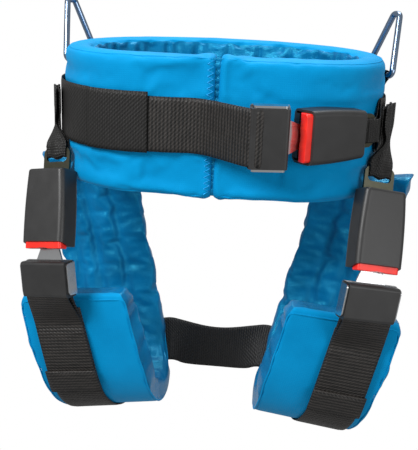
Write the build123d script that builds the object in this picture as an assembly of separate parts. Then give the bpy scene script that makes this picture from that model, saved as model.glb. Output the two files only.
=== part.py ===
from build123d import *
import os
from math import cos, sin, pi, radians

os.makedirs("parts", exist_ok=True)

# Walking harness: a padded waist belt with two lifting rings, two padded leg cradles, webbing straps and
# three seat-belt style buckles. Millimetres, +Z up, the wearer faces -Y, and left and right are as seen from
# the front. Shapes are built round the belt's own axis, then moved by FRAME_SHIFT, which puts the origin
# under the middle of the whole object, at its lowest point.
FRAME_SHIFT = Vector(0, 19.3, -2.0)

# Waist belt: a flat front with round corners and a half ellipse at the back, split at the front
BELT_HALF = 148.0
BELT_FRONT = -98.0
BELT_FLAT = 68.0
BELT_CORNER = 80.0
BELT_MID = -14.0
BELT_REAR = 112.0
BELT_THICK = 26.0
BELT_BOTTOM = 250.0
BELT_HEIGHT = 128.0
BELT_TOP = BELT_BOTTOM + BELT_HEIGHT
BELT_ROUND = 8.0
CLOTH = 1.5
SEAM_GAP = 3.0

# Webbing
WEB = 48.0
WEB_THICK = 1.5
GAP = 0.4
LAYER = WEB_THICK + GAP
STRAP_Z = 317.0
BUNCHED = 22.0

# Buckles: the case narrows from its mouth to its anchor end, and the leg buckles are the longer ones
WAIST_BUCKLE = 60.0
LEG_BUCKLE = 71.0
BUCKLE_WIDE = 46.0
BUCKLE_TIP = 41.0
BUCKLE_BULGE = 1.2
BUCKLE_DEEP = 24.0
WALL = 2.0
MOUTH_SLANT = 4.5
BUTTON_PROUD = 2.5
BUTTON_LONG = 14.0
FRAME_Y = 4.6
FRAME_PLATE = 2.5
FRAME_HALF = 15.0
SLOT_HALF = 11.8
SLOT_WIDE = 8.0
SLOT_FROM_CASE = 12.0
PLATE_FROM_CASE = 24.0
SCREW_FROM_END = 6.0
SCREW_Z = 17.2

# Tongues: a bent steel plate with side cheeks, a bar for the webbing and a moulded cap
TONGUE_PLATE = 2.0
TONGUE_Y = 2.2
TONGUE_HALF = 11.0
NECK_HALF = 14.5
TONGUE_IN = 24.0
TONGUE_OUT = 12.0
WAIST_BEND = 25.0
LEG_BEND = 13.0
BRACKET_LONG = 33.0
BRACKET_HALF = 27.5
BAR_RADIUS = 2.5
BAR_X = -17.0
BAR_Y = -5.6
CAP_FRONT = -12.2

# Where the buckles sit: the middle of the mouth, and how the case is turned
WAIST_MOUTH = Vector(75.5, -116.0, 316.0)
WAIST_TURN = 35.0
LEG_MOUTH = Vector(147.0, -101.0, 198.0)
LEG_AXIS = Vector(0.04, 0.375, 0.926)
LEG_FACE_TURN = 22.0

# Lifting rings
WIRE = 3.0
RING_HEIGHT = 58.0
RING_HALF = 24.0
RING_CROWN = 5.0
RING_RUN = 238.0
RING_OUT = 10.0
RING_Z = 355.0
RING_LEAN = 14.0
TAB_WIDE = 30.0
LEG_STRAP_RUN = 284.0
WAIST_STRAP_END = 195.0
HANG_RUN = 170.0

# Leg cradles: one padded band each, down behind the thigh, under it and up in front
PAD_THICK = 24.0
LEG_ROUTE = [(146, 48, 238), (137, 52, 202), (127, 52, 160), (116, 45, 105), (106, 22, 47), (101, -24, 20),
             (104, -66, 38), (113, -84, 88), (126, -86, 150)]
LEG_SECTIONS = 37
LEG_LEAN = 9.0
TURN_BACK = -14.0
TURN_FRONT = 9.0
STRAP_SHIFT = 17.0
PAD_GAP = 0.8
CROSS_DROOP = 8.0


# ---------------------------------------------------------------- small helpers
def spread(start, stop, count):
    return [start + (stop - start) * i / (count - 1) for i in range(count)]


def block(x0, x1, y0, y1, z0, z1):
    return Pos((x0 + x1) / 2, (y0 + y1) / 2, (z0 + z1) / 2) * Box(x1 - x0, y1 - y0, z1 - z0)


def rod(radius, length, x, y, z=0.0):
    """A cylinder along Z."""
    return Pos(x, y, z) * Cylinder(radius, length)


def cross_rod(radius, y0, y1, x, z):
    """A cylinder along Y, from y0 to y1."""
    return Pos(x, (y0 + y1) / 2, z) * Rot(90, 0, 0) * Cylinder(radius, y1 - y0)


def ribbon(frames, joins=(), thick=WEB_THICK):
    """A strip through (centre, half-width vector, normal) frames, as one ruled solid. A strip that turns back
    on itself is lofted in pieces, which meet at the frames numbered in joins."""
    wires = []
    for centre, across, normal in frames:
        out = normal.normalized() * (thick / 2)
        corners = [centre - across - out, centre + across - out, centre + across + out, centre - across + out]
        wires.append(Wire.make_polygon(corners, close=True))
    ends = [0, *joins, len(wires) - 1]
    pieces = [Solid.make_loft(wires[a:b + 1], ruled=True) for a, b in zip(ends[:-1], ends[1:])]
    strip = pieces[0]
    for piece in pieces[1:]:
        strip = (strip + piece).solid()
    return strip


def turned(frames):
    """The same frames with their normals the other way, for a strip that has turned back."""
    return [(centre, across, normal * -1) for centre, across, normal in frames]


def mirrored(solid):
    return mirror(solid, Plane.YZ)


# ---------------------------------------------------------------- waist belt
def belt_outline(inset):
    """The belt's plan at an inset, as a wire from the front centre, round +X."""
    half, rear = BELT_HALF - inset, BELT_REAR - inset
    corner_y = BELT_FRONT + BELT_CORNER
    front = BELT_FRONT + inset
    right = [
        Edge.make_line((0, front), (BELT_FLAT, front)),
        Edge.make_circle(BELT_CORNER - inset, Plane((BELT_FLAT, corner_y, 0)), 270, 360),
        Edge.make_line((half, corner_y), (half, BELT_MID)),
        Edge.make_ellipse(half, rear, Plane((0, BELT_MID, 0)), 0, 90),
    ]
    left = [
        Edge.make_ellipse(half, rear, Plane((0, BELT_MID, 0)), 90, 180),
        Edge.make_line((-half, BELT_MID), (-half, corner_y)),
        Edge.make_circle(BELT_CORNER - inset, Plane((-BELT_FLAT, corner_y, 0)), 180, 270),
        Edge.make_line((-BELT_FLAT, front), (0, front)),
    ]
    return Wire(right + left)


outline = belt_outline(0)


def on_belt(run, out, z):
    """The point at a run along the outline from the front centre, the way along it and the outward normal."""
    place = outline.position_at(abs(run), position_mode=PositionMode.LENGTH)
    along = outline.tangent_at(abs(run), position_mode=PositionMode.LENGTH)
    normal = Vector(along.Y, -along.X, 0)
    point = place + normal * out
    side = 1 if run >= 0 else -1
    return (Vector(side * point.X, point.Y, z), Vector(along.X, side * along.Y, 0) * side,
            Vector(side * normal.X, normal.Y, 0))


def belt_band(runs, out, z, half=WEB / 2):
    """Frames of a strap that lies round the belt."""
    frames = []
    for run in runs:
        point, _, normal = on_belt(run, out, z)
        frames.append((point, Vector(0, 0, half), normal))
    return frames


def belt_ring(inset, z0, z1, radius):
    """A ring of the belt's section between two insets, with rounded rims."""
    plan = make_face(belt_outline(inset)) - make_face(belt_outline(BELT_THICK - inset))
    ring = Pos(0, 0, z0) * extrude(plan, z1 - z0)
    rims = ring.edges().filter_by_position(Axis.Z, z0 - 0.01, z0 + 0.01)
    rims += ring.edges().filter_by_position(Axis.Z, z1 - 0.01, z1 + 0.01)
    return fillet(rims, radius)


def belt_parts(dent):
    """Cover, foam and quilted lining, open at the front seam and pressed in behind the waist buckle."""
    y0, y1 = BELT_FRONT - 20, BELT_FRONT + BELT_THICK + 20
    seam = block(-SEAM_GAP / 2, SEAM_GAP / 2, y0, y1, 0, 500)
    hem = block(-SEAM_GAP / 2 - CLOTH, SEAM_GAP / 2 + CLOTH, y0, y1, 0, 500)
    whole = belt_ring(0, BELT_BOTTOM, BELT_TOP, BELT_ROUND) - seam - dent(0)
    foam = belt_ring(CLOTH, BELT_BOTTOM + CLOTH, BELT_TOP - CLOTH, BELT_ROUND - CLOTH) - hem - dent(CLOTH)
    back = make_face(belt_outline(BELT_THICK - CLOTH)) - make_face(belt_outline(BELT_THICK + 1))
    back = Pos(0, 0, BELT_BOTTOM + BELT_ROUND) * extrude(back, BELT_HEIGHT - 2 * BELT_ROUND)
    lining = back & whole
    cover = whole - foam - back
    return {"belt_cover": cover, "belt_foam": foam, "belt_lining": lining}


# ---------------------------------------------------------------- buckle, in its own frame
# Origin in the middle of the mouth; +X runs from the mouth to the anchor, -Y is the face, Z is the width.
def case_block(long, inset, x0):
    """The case's outline or, at an inset, its hollow: bowed sides that draw in towards the anchor end."""
    half_w, tip, half_t = BUCKLE_WIDE / 2 - inset, BUCKLE_TIP / 2 - inset, BUCKLE_DEEP / 2 - inset
    far, mid = long - inset, (half_w + tip) / 2 + BUCKLE_BULGE
    plan = Wire([
        Edge.make_three_point_arc((x0, -half_t, half_w), (far / 2, -half_t, mid), (far, -half_t, tip)),
        Edge.make_line((far, -half_t, tip), (far, -half_t, -tip)),
        Edge.make_three_point_arc((far, -half_t, -tip), (far / 2, -half_t, -mid), (x0, -half_t, -half_w)),
        Edge.make_line((x0, -half_t, -half_w), (x0, -half_t, half_w)),
    ])
    body = extrude(make_face(plan), 2 * half_t, dir=(0, 1, 0))
    corners = [edge for edge in body.edges() if edge.length > long * 0.8]
    return fillet(corners, 5.0 - inset)


def buckle_case(front, long):
    """One half of the moulded case."""
    half_w, half_t = BUCKLE_WIDE / 2 + 3, BUCKLE_DEEP / 2
    body = case_block(long, 0, 0)
    body = fillet(body.faces().sort_by(Axis.X)[-1].edges(), 2.5)
    core = case_block(long, WALL / 2, 0)
    case = body - case_block(long, WALL, -1)
    if front:
        slant = Polyline((0, 0), (MOUTH_SLANT, -half_t - 1), (-1, -half_t - 1), (-1, 0), close=True)
        case = case & block(-1, long, -half_t, 0, -half_w, half_w)
        case = case - extrude(make_face(slant), half_w, both=True)
        rib = block(27, 29, -half_t + 1, -3.7, -BUCKLE_WIDE / 2 + 1, BUCKLE_WIDE / 2 - 1)
        bosses = [block(long - 9, long, -half_t, 0, z, z + 9.6) for z in (15.4, -25)]
        return case + (rib & core) + (bosses[0] & core) + (bosses[1] & core)
    case = case & block(-1, long, 0, half_t, -half_w, half_w)
    way = FRAME_HALF + 0.4
    plate_way = block(long - 5, long + 1, FRAME_Y - 0.4, FRAME_Y + FRAME_PLATE + 0.4, -way, way)
    sill = block(0, WALL, FRAME_Y, half_t - 1, 4 - BUCKLE_WIDE / 2, BUCKLE_WIDE / 2 - 4)
    bosses = [block(long - 9, long, 0, half_t, z, z + 9.6) for z in (15.4, -25)]
    return case - plate_way + sill + (bosses[0] & core) + (bosses[1] & core)


def screw_holes(long):
    holes = []
    for z in (-SCREW_Z, SCREW_Z):
        holes.append(cross_rod(1.05, -2.5, BUCKLE_DEEP / 2 + 1, long - SCREW_FROM_END, z))
        holes.append(cross_rod(2.0, BUCKLE_DEEP / 2 - 2.2, BUCKLE_DEEP / 2 + 1, long - SCREW_FROM_END, z))
    return holes


def case_screws(long):
    """Two screws from the back that hold the case halves together."""
    screws = []
    x, top = long - SCREW_FROM_END, BUCKLE_DEEP / 2 - 1.0
    for z in (-SCREW_Z, SCREW_Z):
        shank = cross_rod(0.9, -2.4, top - 0.5, x, z)
        head = cross_rod(1.85, top - 1.2, top, x, z)
        cross_slot = block(x - 1.4, x + 1.4, top - 0.5, top + 1, z - 0.2, z + 0.2)
        screws.append((shank + head - cross_slot).solid())
    return Compound(screws)


def release_button():
    """The press button: a scooped face, a pocket for its springs and a channel that clears the latch."""
    half_t, half_w = BUCKLE_DEEP / 2 - WALL - 0.3, BUCKLE_WIDE / 2 - WALL - 0.3
    body = block(-BUTTON_PROUD, BUTTON_LONG - BUTTON_PROUD, -half_t, -0.6, -half_w, half_w)
    body = fillet(body.edges().filter_by(Axis.X).sort_by(Axis.Y)[:2], 2.7)
    body = fillet(body.faces().sort_by(Axis.X)[0].edges(), 0.8)
    scoop = cross_rod(30, -20, 20, -BUTTON_PROUD - 29.0, 0)
    pocket = block(2, BUTTON_LONG, -half_t + 1.6, -2.6, -half_w + 3, half_w - 3)
    channel = block(2, BUTTON_LONG, -half_t + 1.6, 0, -6, 6)
    return body - scoop - pocket - channel


def frame_plate(long):
    """The steel frame: a channel that carries the latch, drawn out to the webbing slot."""
    top, reach = FRAME_Y + FRAME_PLATE, long + PLATE_FROM_CASE
    base = block(3, reach - 8, FRAME_Y, top, -FRAME_HALF, FRAME_HALF)
    head = Pos(reach - 8, top, 0) * Rot(90, 0, 0) * extrude(Ellipse(8, FRAME_HALF), FRAME_PLATE)
    slot_shape = Rot(0, 0, 90) * SlotOverall(2 * SLOT_HALF, SLOT_WIDE)
    slot = Pos(long + SLOT_FROM_CASE, top, 0) * Rot(90, 0, 0) * extrude(slot_shape, 10, both=True)
    sides = (FRAME_HALF - 2, FRAME_HALF), (-FRAME_HALF, 2 - FRAME_HALF)
    rails = [block(16.5, 48, -3.5, FRAME_Y, z0, z1) for z0, z1 in sides]
    return base + head + rails[0] + rails[1] - slot


def latch_leaf():
    """A leaf spring with the pawl that drops through the tongue's window."""
    leaf = block(11, 46, -3.4, -2.4, -4.5, 4.5)
    pawl = block(11, 13.5, -2.5, 3.4, -4.5, 4.5)
    foot = block(45, 46, -3.4, FRAME_Y, -4.5, 4.5)
    return leaf + pawl + foot


def ejector():
    slider = block(TONGUE_IN + 0.3, TONGUE_IN + 6, 0.6, 4.2, -8, 8)
    return fillet(slider.edges().filter_by(Axis.Y), 1.0)


def coil(radius, wire, length, turns):
    path = Helix(length / turns, length, radius)
    section = Plane(path @ 0, z_dir=path % 0) * Circle(wire)
    return sweep(section, path=path, is_frenet=True).solid()


def buckle_springs():
    """Two button return springs and the ejector's spring."""
    along_x = Rot(0, 90, 0)
    springs = [Pos(3.0, -5.7, z) * along_x * coil(1.8, 0.35, 23.4, 8) for z in (-12, 12)]
    springs.append(Pos(TONGUE_IN + 6.6, 2.3, 0) * along_x * coil(1.5, 0.3, 13.0, 6))
    return Compound(springs)


def buckle_parts(long):
    front, rear = buckle_case(True, long), buckle_case(False, long)
    for hole in screw_holes(long):
        front, rear = front - hole, rear - hole
    return {
        "front_case": front,
        "rear_case": rear,
        "button": release_button(),
        "frame_plate": frame_plate(long),
        "latch": latch_leaf(),
        "ejector": ejector(),
        "springs": buckle_springs(),
        "screws": case_screws(long),
    }


# ---------------------------------------------------------------- tongue, in the buckle's frame
def bracket_plane(bend):
    """The bracket's own frame: it's bent back from the blade by this many degrees."""
    way = Vector(cos(radians(bend)), -sin(radians(bend)), 0)
    return Plane((-TONGUE_OUT, TONGUE_Y, 0), x_dir=way, z_dir=(0, 0, 1))


def tongue_plate(bracket):
    """Blade, flared neck and bracket in one pressing. The bracket's cheeks carry the bar."""
    t = TONGUE_PLATE / 2
    blade = block(-TONGUE_OUT, TONGUE_IN, TONGUE_Y - t, TONGUE_Y + t, -TONGUE_HALF, TONGUE_HALF)
    blade = fillet(blade.edges().filter_by(Axis.Y).sort_by(Axis.X)[-2:], 3.0)
    window = block(10.5, 18, TONGUE_Y - t - 1, TONGUE_Y + t + 1, -5.2, 5.2)
    y = TONGUE_Y - t
    corners = [(-3, TONGUE_HALF), (-TONGUE_OUT, NECK_HALF), (-TONGUE_OUT, -NECK_HALF), (-3, -TONGUE_HALF)]
    flare = Wire.make_polygon([(x, y, z) for x, z in corners], close=True)
    neck = extrude(make_face(flare), TONGUE_PLATE, dir=(0, 1, 0))
    base = block(-BRACKET_LONG, 0, -t, t, -BRACKET_HALF, BRACKET_HALF)
    base = fillet(base.edges().filter_by(Axis.Y), 2.0)
    cheeks = []
    for z0 in (-BRACKET_HALF, BRACKET_HALF - TONGUE_PLATE):
        cheek = block(-BRACKET_LONG + 2, -2, CAP_FRONT + 2, t, z0, z0 + TONGUE_PLATE)
        cheeks.append(fillet(cheek.edges().filter_by(Axis.Z).sort_by(Axis.Y)[:2], 3.0))
    holes = rod(1.7, 100, BAR_X, BAR_Y)
    bent = bracket.location * (base + cheeks[0] + cheeks[1] - holes)
    bend = rod(t, 2 * NECK_HALF, -TONGUE_OUT, TONGUE_Y)
    return blade - window + neck + bent + bend


def lock_bar(bracket):
    """The bar that the webbing turns round, with thin ends held in the cheeks."""
    bar = rod(BAR_RADIUS, 2 * (BRACKET_HALF - TONGUE_PLATE) - 1.8, BAR_X, BAR_Y)
    ends = rod(1.6, 2 * BRACKET_HALF, BAR_X, BAR_Y)
    return bracket.location * (bar + ends)


def tongue_cap(bracket):
    """The moulded cap over the bar, open at the back and where the webbing comes in."""
    half = BRACKET_HALF - TONGUE_PLATE - 0.3
    outer = block(-BRACKET_LONG - 0.5, -0.5, CAP_FRONT, -TONGUE_PLATE / 2 - 0.2, -half, half)
    outer = fillet(outer.edges().filter_by(Axis.Z).sort_by(Axis.Y)[:2], 3.0)
    hollow = block(-BRACKET_LONG - 2, -2.5, CAP_FRONT + 1.6, 1, -half + 0.3, half - 0.3)
    ribs = [block(-8, -3, CAP_FRONT + 1, -2.0, z0, z0 + 1.2) for z0 in (-half + 0.2, half - 1.4)]
    cap = outer - hollow + ribs[0] + ribs[1]
    return bracket.location * (cap - rod(1.8, 100, BAR_X, BAR_Y))


def tongue_parts(bend):
    bracket = bracket_plane(bend)
    return {
        "tongue_plate": tongue_plate(bracket),
        "lock_bar": lock_bar(bracket),
        "tongue_cap": tongue_cap(bracket),
    }


def bar_turn(place, bend, half):
    """Webbing frames in along the bracket, round the lock bar and out again. The normals point to the bar."""
    bracket, radius = bracket_plane(bend), BAR_RADIUS + 0.3 + WEB_THICK / 2
    spots = [(-BRACKET_LONG, BAR_Y + radius, 90)]
    for a in spread(90, -90, 9):
        spots.append((BAR_X + radius * cos(radians(a)), BAR_Y + radius * sin(radians(a)), a))
    spots.append((-BRACKET_LONG, BAR_Y - radius, -90))
    frames = []
    for x, y, angle in spots:
        centre = place.from_local_coords(bracket.from_local_coords(Vector(x, y, 0)))
        tip = place.from_local_coords(bracket.from_local_coords(
            Vector(x + cos(radians(angle)), y + sin(radians(angle)), 0)))
        frames.append((centre, place.z_dir * half, centre - tip))
    return frames


def slot_turn(place, long, half, beyond):
    """Webbing frames that come in front of the anchor plate, through its slot and back behind it."""
    mid, slot = FRAME_Y + FRAME_PLATE / 2, long + SLOT_FROM_CASE
    spots = [(slot + beyond, mid - 2.8), (slot + 8, mid - 2.8)]
    for a in (70, 35, 0, -35, -70):
        spots.append((slot + 3.4 - 3.4 * cos(radians(a)), mid - 2.8 * sin(radians(a))))
    spots += [(slot + 8, mid + 2.8), (slot + beyond, mid + 2.8)]
    frames = []
    for x, y in spots:
        centre = place.from_local_coords(Vector(x, y, 0))
        out = Vector(x - slot - 7, y - mid, 0) if x < slot + 4.5 else Vector(0, y - mid, 0)
        tip = place.from_local_coords(Vector(x, y, 0) + out.normalized())
        frames.append((centre, place.z_dir * half, tip - centre))
    return frames


# ---------------------------------------------------------------- where the buckles are
def waist_place():
    turn = radians(WAIST_TURN)
    return Plane(WAIST_MOUTH, x_dir=Vector(cos(turn), sin(turn), 0), z_dir=Vector(0, 0, 1))


def leg_place():
    """The right leg buckle. The left one is its mirror image."""
    back = Vector(-sin(radians(LEG_FACE_TURN)), cos(radians(LEG_FACE_TURN)), 0)
    return Plane(LEG_MOUTH, x_dir=LEG_AXIS.normalized(), z_dir=LEG_AXIS.cross(back).normalized())


waist = waist_place()
leg = leg_place()


def waist_dent(deeper):
    """The hollow that the waist buckle and its anchor plate press into the pad."""
    half_t, half_w, room = BUCKLE_DEEP / 2, BUCKLE_WIDE / 2 + BUCKLE_BULGE, 0.6 + deeper
    case = block(-5, WAIST_BUCKLE + room, -half_t, half_t + room, -half_w - room, half_w + room)
    case = fillet(case.edges().filter_by(Axis.X), 5.0)
    reach, plate_w = WAIST_BUCKLE + PLATE_FROM_CASE + room, FRAME_HALF + room
    plate = block(50, reach, -half_t, half_t - 1 + room, -plate_w, plate_w)
    return waist.location * (case + plate)


# ---------------------------------------------------------------- leg cradle, right side
leg_line = Spline(*LEG_ROUTE)
leg_steps = spread(0.0, 1.0, LEG_SECTIONS)


def leg_frame(u):
    """Centre, outward width direction and normal of the leg band at u, from the back top to the front top."""
    turn, lean = radians(TURN_BACK + (TURN_FRONT - TURN_BACK) * u), radians(LEG_LEAN)
    centre, along = leg_line @ u, leg_line % u
    width = Vector(cos(lean) * cos(turn), cos(lean) * sin(turn), -sin(lean))
    return centre, width, width.cross(along).normalized()


def leg_edges(u):
    """How far the band reaches inwards and outwards from its line at u."""
    inner = 50 + 8 * min(1.0, u / 0.45)
    outer = 50 + 7 * u - 12 * sin(pi * max(0.0, min(1.0, (u - 0.3) / 0.6))) ** 2
    return inner, outer


def leg_layer(t0, t1, inset):
    """A slab of the leg band between two depths from its mid-surface."""
    wires = []
    ends = inset / leg_line.length
    for u in [ends] + leg_steps[1:-1] + [1.0 - ends]:
        centre, width, normal = leg_frame(u)
        inner, outer = leg_edges(u)
        a, b = centre - width * (inner - inset), centre + width * (outer - inset)
        corners = [a + normal * t0, b + normal * t0, b + normal * t1, a + normal * t1]
        wires.append(Wire.make_polygon(corners, close=True))
    return Solid.make_loft(wires, ruled=True)


def leg_parts():
    half = PAD_THICK / 2
    cover = leg_layer(-half + CLOTH, half, 0) - leg_layer(-half - 1, half - CLOTH, CLOTH)
    foam = leg_layer(-half + CLOTH + 0.2, half - CLOTH - 0.2, CLOTH + 0.2)
    lining = leg_layer(-half, -half + CLOTH - 0.1, 0)
    return {"leg_cover": cover, "leg_foam": foam, "leg_lining": lining}


def strap_shift(u):
    """How far the leg strap runs outside the band's line."""
    return STRAP_SHIFT * min(1.0, max(0.0, (u - 0.45) / 0.3))


def leg_web(us, out, half=WEB / 2):
    """Frames of webbing on the outer face of the leg band."""
    frames = []
    for u in us:
        centre, width, normal = leg_frame(u)
        point = centre + width * strap_shift(u) + normal * (PAD_THICK / 2 + PAD_GAP + out)
        frames.append((point, width * half, normal))
    return frames


def leg_strap():
    """The load strap: from the belt's rear quarter, down the band and under the thigh to the flap's top."""
    frames = []
    for z in (STRAP_Z + 10, STRAP_Z - 34, BELT_BOTTOM + 14):
        point, along, normal = on_belt(LEG_STRAP_RUN, LAYER + 1.4, z)
        frames.append((point, along * (-WEB / 2), normal))
    return ribbon(frames + leg_web(leg_steps[:-1], WEB_THICK / 2))


def tongue_strap():
    """The adjusting end of the leg strap: up to the tongue, round its bar and down again to a folded hem."""
    low = leg_web(leg_steps[30:35], LAYER + WEB_THICK / 2)
    tail = leg_web(leg_steps[34:28:-1], 2 * LAYER + WEB_THICK / 2)
    return ribbon(low + bar_turn(leg, LEG_BEND, -WEB / 2) + turned(tail), (len(low), len(low) + 10))


def hang_loop():
    """Webbing bunched through the leg buckle's anchor slot and sewn to the outside of the waist strap."""
    front, back = [], []
    for above, share in ((19, 0.8), (0, 0.8), (-15, 0.55)):
        z, half = STRAP_Z + above, share * BUNCHED
        point, along, normal = on_belt(HANG_RUN, 3 * LAYER + 4.4, z)
        front.append((point, along * -half, normal))
        point, along, normal = on_belt(HANG_RUN, 2 * LAYER + 4.0, z)
        back.append((point, along * -half, normal))
    turn = slot_turn(leg, LEG_BUCKLE, BUNCHED / 2, 15)
    return ribbon(front + turn + turned(back[::-1]), (len(front), len(front) + 8))


# ---------------------------------------------------------------- waist straps
def waist_strap():
    """Round the belt from the buckle's side, behind the wearer and on to the left of the front."""
    total = outline.length
    frames = []
    for run in spread(total - 75, WAIST_STRAP_END, 46):
        place = outline.position_at(run, position_mode=PositionMode.LENGTH)
        along = outline.tangent_at(run, position_mode=PositionMode.LENGTH)
        normal = Vector(along.Y, -along.X, 0)
        centre = place + normal * (GAP + WEB_THICK / 2) + Vector(0, 0, STRAP_Z)
        frames.append((centre, Vector(0, 0, WEB / 2), normal))
    return ribbon(frames)


def waist_front_strap():
    """From the left of the front, over the seam, round the waist tongue's bar and back over itself."""
    low = belt_band([-118, -106, -94, -82, -68, -40, -10], LAYER + GAP + WEB_THICK / 2, STRAP_Z)
    tail = belt_band([-10, -40, -58], 2 * LAYER + GAP + WEB_THICK / 2, STRAP_Z)
    return ribbon(low + bar_turn(waist, WAIST_BEND, WEB / 2) + turned(tail), (len(low), len(low) + 10))


def waist_buckle_loop():
    """Webbing bunched through the waist buckle's anchor slot, with one end over the waist strap."""
    front = belt_band((218, 206, 194, 182, 172, 162), LAYER + GAP + WEB_THICK / 2, STRAP_Z)
    back = belt_band((162, 172, 182, 192), GAP + WEB_THICK / 2, STRAP_Z)
    turn = slot_turn(waist, WAIST_BUCKLE, BUNCHED / 2, 14)
    return ribbon(front + turn + turned(back), (len(front), len(front) + 8))


def cross_strap():
    """The strap that joins the two leg cradles behind the wearer."""
    frames = []
    for inward in (20, 40, 56):
        u = 0.47
        centre, width, normal = leg_frame(u)
        point = centre - width * inward + normal * (PAD_THICK / 2 + LAYER + GAP + WEB_THICK / 2)
        frames.append((point, leg_line % u * (WEB / 2), normal))
    edge, across, normal = frames[-1]
    for share in (0.75, 0.5, 0.25, 0.0):
        way = (across * share ** 2 + Vector(0, 0, -WEB / 2) * (1 - share ** 2)).normalized() * (WEB / 2)
        out = normal * share ** 2 + Vector(0, 1, 0) * (1 - share ** 2)
        hang = Vector(edge.X * share, edge.Y + 4 * (1 - share ** 2), edge.Z - CROSS_DROOP * (1 - share ** 2))
        frames.append((hang, way, out))
    for centre, across, normal in frames[-2::-1]:
        frames.append((Vector(-centre.X, centre.Y, centre.Z), Vector(-across.X, across.Y, across.Z),
                       Vector(-normal.X, normal.Y, normal.Z)))
    return ribbon(frames)


# ---------------------------------------------------------------- lifting ring and its tab, right side
ring_foot, ring_along, ring_normal = on_belt(RING_RUN, RING_OUT, RING_Z)
ring_up = Vector(0, 0, cos(radians(RING_LEAN))) + ring_normal * sin(radians(RING_LEAN))
ring_plane = Plane(ring_foot, x_dir=ring_along, z_dir=ring_along.cross(ring_up))


def lifting_ring():
    """A tall triangle of round steel wire, standing on its base bar."""
    corners = [(-RING_HALF, 0), (RING_HALF, 0), (RING_CROWN, RING_HEIGHT), (-RING_CROWN, RING_HEIGHT)]
    path = Wire.make_polygon([Vector(x, y, 0) for x, y in corners], close=True)
    path = path.fillet_2d(4.5, path.vertices())
    section = Plane(path @ 0.1, z_dir=path % 0.1) * Circle(WIRE)
    ring = Solid.sweep(section.face(), path=path)
    return ring_plane.location * ring


def ring_tab():
    """Webbing folded round the ring's base bar and sewn to the belt's side over the waist strap."""
    radius = WIRE + GAP + WEB_THICK / 2
    half = ring_along * (TAB_WIDE / 2)
    layers = {}
    for name, out in (("outer", 2 * LAYER + 2.6), ("inner", LAYER + 1.4)):
        layers[name] = [on_belt(RING_RUN, out, z)[0] for z in (STRAP_Z - 14, STRAP_Z + 22)]
    frames = [(point, half, ring_normal) for point in layers["outer"]]
    for angle in spread(-25, 205, 9):
        out = ring_normal * cos(radians(angle)) + Vector(0, 0, sin(radians(angle)))
        frames.append((ring_foot + out * radius, half, out))
    frames += [(point, half, ring_normal * -1) for point in reversed(layers["inner"])]
    return ribbon(frames, (2, 10))


# ---------------------------------------------------------------- the whole harness
def build():
    parts = belt_parts(waist_dent)
    parts["waist_strap"] = waist_strap()
    parts["waist_front_strap"] = waist_front_strap()
    parts["waist_buckle_loop"] = waist_buckle_loop()
    parts["cross_strap"] = cross_strap()
    for name, solid in {**buckle_parts(WAIST_BUCKLE), **tongue_parts(WAIST_BEND)}.items():
        parts["waist_" + name] = waist.location * solid
    right = {}
    for name, solid in {**buckle_parts(LEG_BUCKLE), **tongue_parts(LEG_BEND)}.items():
        right["leg_" + name] = leg.location * solid
    right.update(leg_parts())
    right["leg_strap"] = leg_strap()
    right["tongue_strap"] = tongue_strap()
    right["hang_loop"] = hang_loop()
    right["lifting_ring"] = lifting_ring()
    right["ring_tab"] = ring_tab()
    for name, solid in right.items():
        parts["right_" + name] = solid
        parts["left_" + name] = mirrored(solid)
    return parts


if __name__ == "__main__":
    for name, solid in build().items():
        export_step(Pos(*FRAME_SHIFT) * solid, f"parts/{name}.step")
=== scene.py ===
import math
import bpy
import numpy as np
from mathutils import Matrix, Vector, noise
from mathutils.bvhtree import BVHTree


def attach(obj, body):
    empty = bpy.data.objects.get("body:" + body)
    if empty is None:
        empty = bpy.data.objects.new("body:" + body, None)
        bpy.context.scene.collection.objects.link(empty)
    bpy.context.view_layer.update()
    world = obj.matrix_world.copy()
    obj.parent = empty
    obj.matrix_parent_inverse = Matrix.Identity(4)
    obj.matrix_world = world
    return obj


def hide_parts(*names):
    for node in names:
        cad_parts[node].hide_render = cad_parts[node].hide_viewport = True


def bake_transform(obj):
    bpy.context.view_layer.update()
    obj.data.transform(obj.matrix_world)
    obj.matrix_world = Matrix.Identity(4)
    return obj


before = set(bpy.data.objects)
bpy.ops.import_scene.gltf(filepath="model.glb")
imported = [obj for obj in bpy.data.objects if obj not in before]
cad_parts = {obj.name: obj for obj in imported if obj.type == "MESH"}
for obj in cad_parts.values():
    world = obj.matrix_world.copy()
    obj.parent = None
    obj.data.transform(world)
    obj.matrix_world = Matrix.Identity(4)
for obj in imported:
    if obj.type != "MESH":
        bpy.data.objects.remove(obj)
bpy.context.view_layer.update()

# Everything below is in metres, in the frame of the CAD model: the wearer faces -Y, and +X is to the right as
# seen from the front. Sizes repeat those of the CAD source.
MM = 0.001
SHIFT = np.array((0.0, 19.3, -2.0)) * MM
UP = np.array((0.0, 0.0, 1.0))

BELT_HALF, BELT_FRONT, BELT_FLAT, BELT_CORNER = 148 * MM, -98 * MM, 68 * MM, 80 * MM
BELT_MID, BELT_REAR, BELT_THICK = -14 * MM, 112 * MM, 26 * MM
BELT_BOTTOM, BELT_HEIGHT = 250 * MM, 128 * MM
STRAP_Z = 317 * MM
WEB_HALF = 24 * MM
WEB_THICK = 1.5 * MM
GAP = 0.4 * MM
LAYER = WEB_THICK + GAP
PAD_THICK = 24 * MM
PAD_GAP = 0.8 * MM
LEG_ROUTE = [(146, 48, 238), (137, 52, 202), (127, 52, 160), (116, 45, 105), (106, 22, 47), (101, -24, 20),
             (104, -66, 38), (113, -84, 88), (126, -86, 150)]
LEG_LEAN, TURN_BACK, TURN_FRONT = math.radians(9), math.radians(-14), math.radians(9)
SLEEVE_HALF = 26.5 * MM
SEAM_PIN = 2.2 * MM


def unit(v):
    v = np.asarray(v, float)
    return v / np.linalg.norm(v)


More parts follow.
